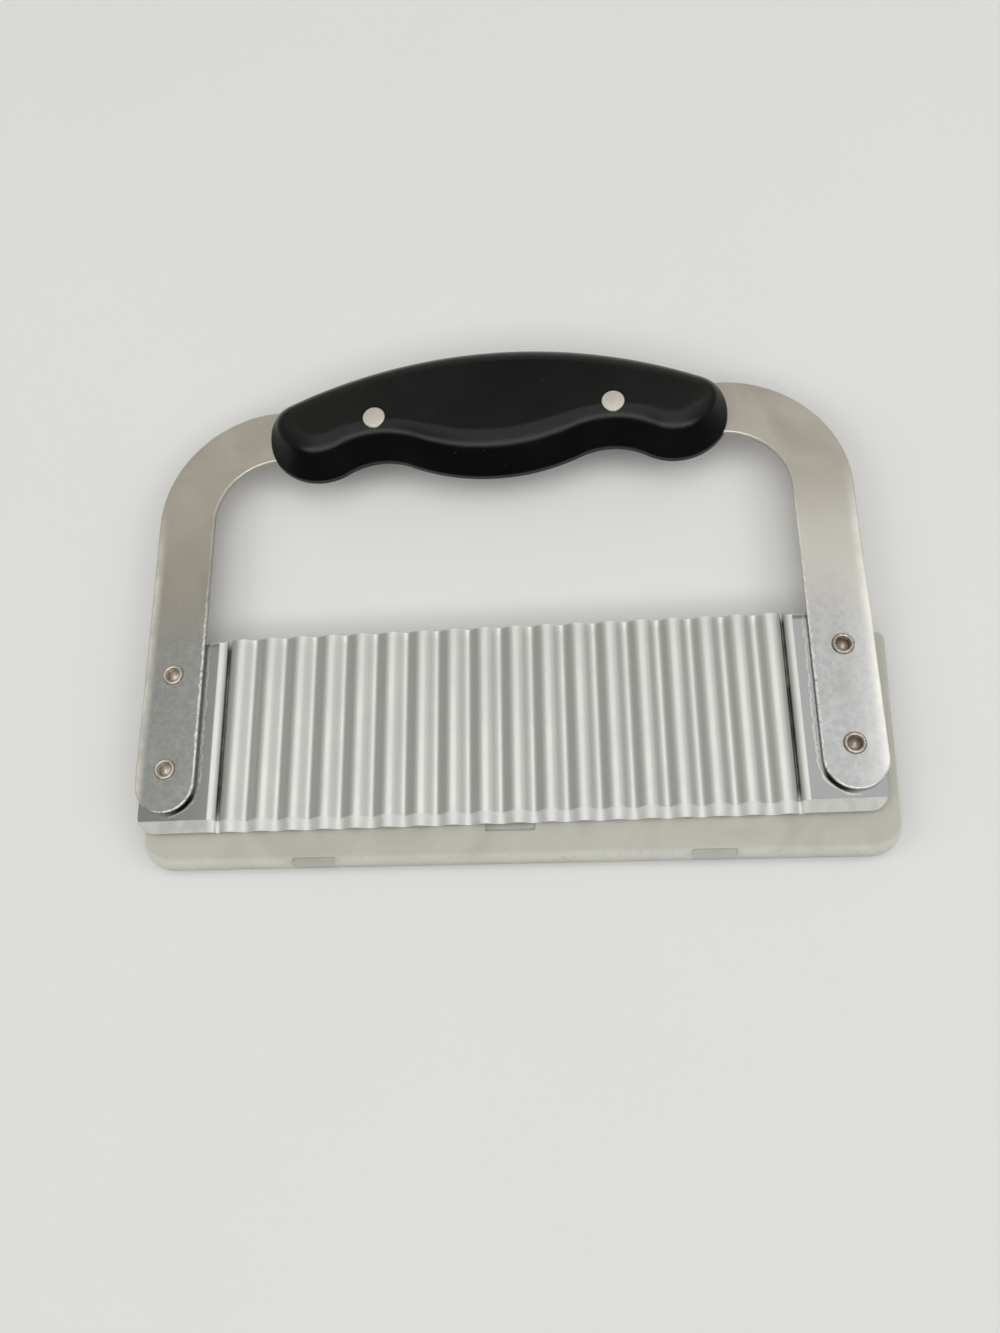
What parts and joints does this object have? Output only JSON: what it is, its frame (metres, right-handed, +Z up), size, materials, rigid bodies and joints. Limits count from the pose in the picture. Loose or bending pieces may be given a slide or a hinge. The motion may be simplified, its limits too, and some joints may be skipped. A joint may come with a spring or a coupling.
{
  "type": "crinkle cutter",
  "caption": "Crinkle cutter: corrugated steel blade riveted across the legs of a bent flat-bar bow, a contoured black grip on its top bar, and a loose frosted plastic sleeve guard.",
  "frame": {"origin": "on the table, under the middle of the lower pair of blade rivets; the cutter lies on its back with the blade on the guard", "axes": "+X along the blade to the right, +Y from the cutting edge to the grip, +Z up from the table out of the cutter's front face"},
  "size_m": [0.1833, 0.1349, 0.018],
  "materials": {
    "frame_steel": "satin stainless bar, worn, with fine mottling on the lower legs",
    "blade_steel": "bright stainless sheet with fine lengthwise lines and a ground edge",
    "rivet_metal": "darkened nickel-plated tubular rivet",
    "cap_metal": "dull nickel-plated rivet cap, flush with the grip",
    "grip_plastic": "semi-matte black moulded plastic",
    "guard_plastic": "milky translucent moulded plastic"
  },
  "bodies": {
    "cutter": {"bow_frame": "frame_steel", "corrugated_blade": "blade_steel", "blade_rivet_left_bottom": "rivet_metal", "blade_rivet_left_top": "rivet_metal", "blade_rivet_right_bottom": "rivet_metal", "blade_rivet_right_top": "rivet_metal", "grip_front_scale": "grip_plastic", "grip_back_scale": "grip_plastic", "grip_rivet_left_socket": "cap_metal", "grip_rivet_left_pin": "cap_metal", "grip_rivet_right_socket": "cap_metal", "grip_rivet_right_pin": "cap_metal"},
    "guard": {"blade_guard": "guard_plastic"}
  },
  "joints": [
    {"name": "guard_slide", "type": "slide", "parent": "cutter", "child": "guard", "axis": [0, -1, 0], "range_m": [0, 0.06]}
  ]
}
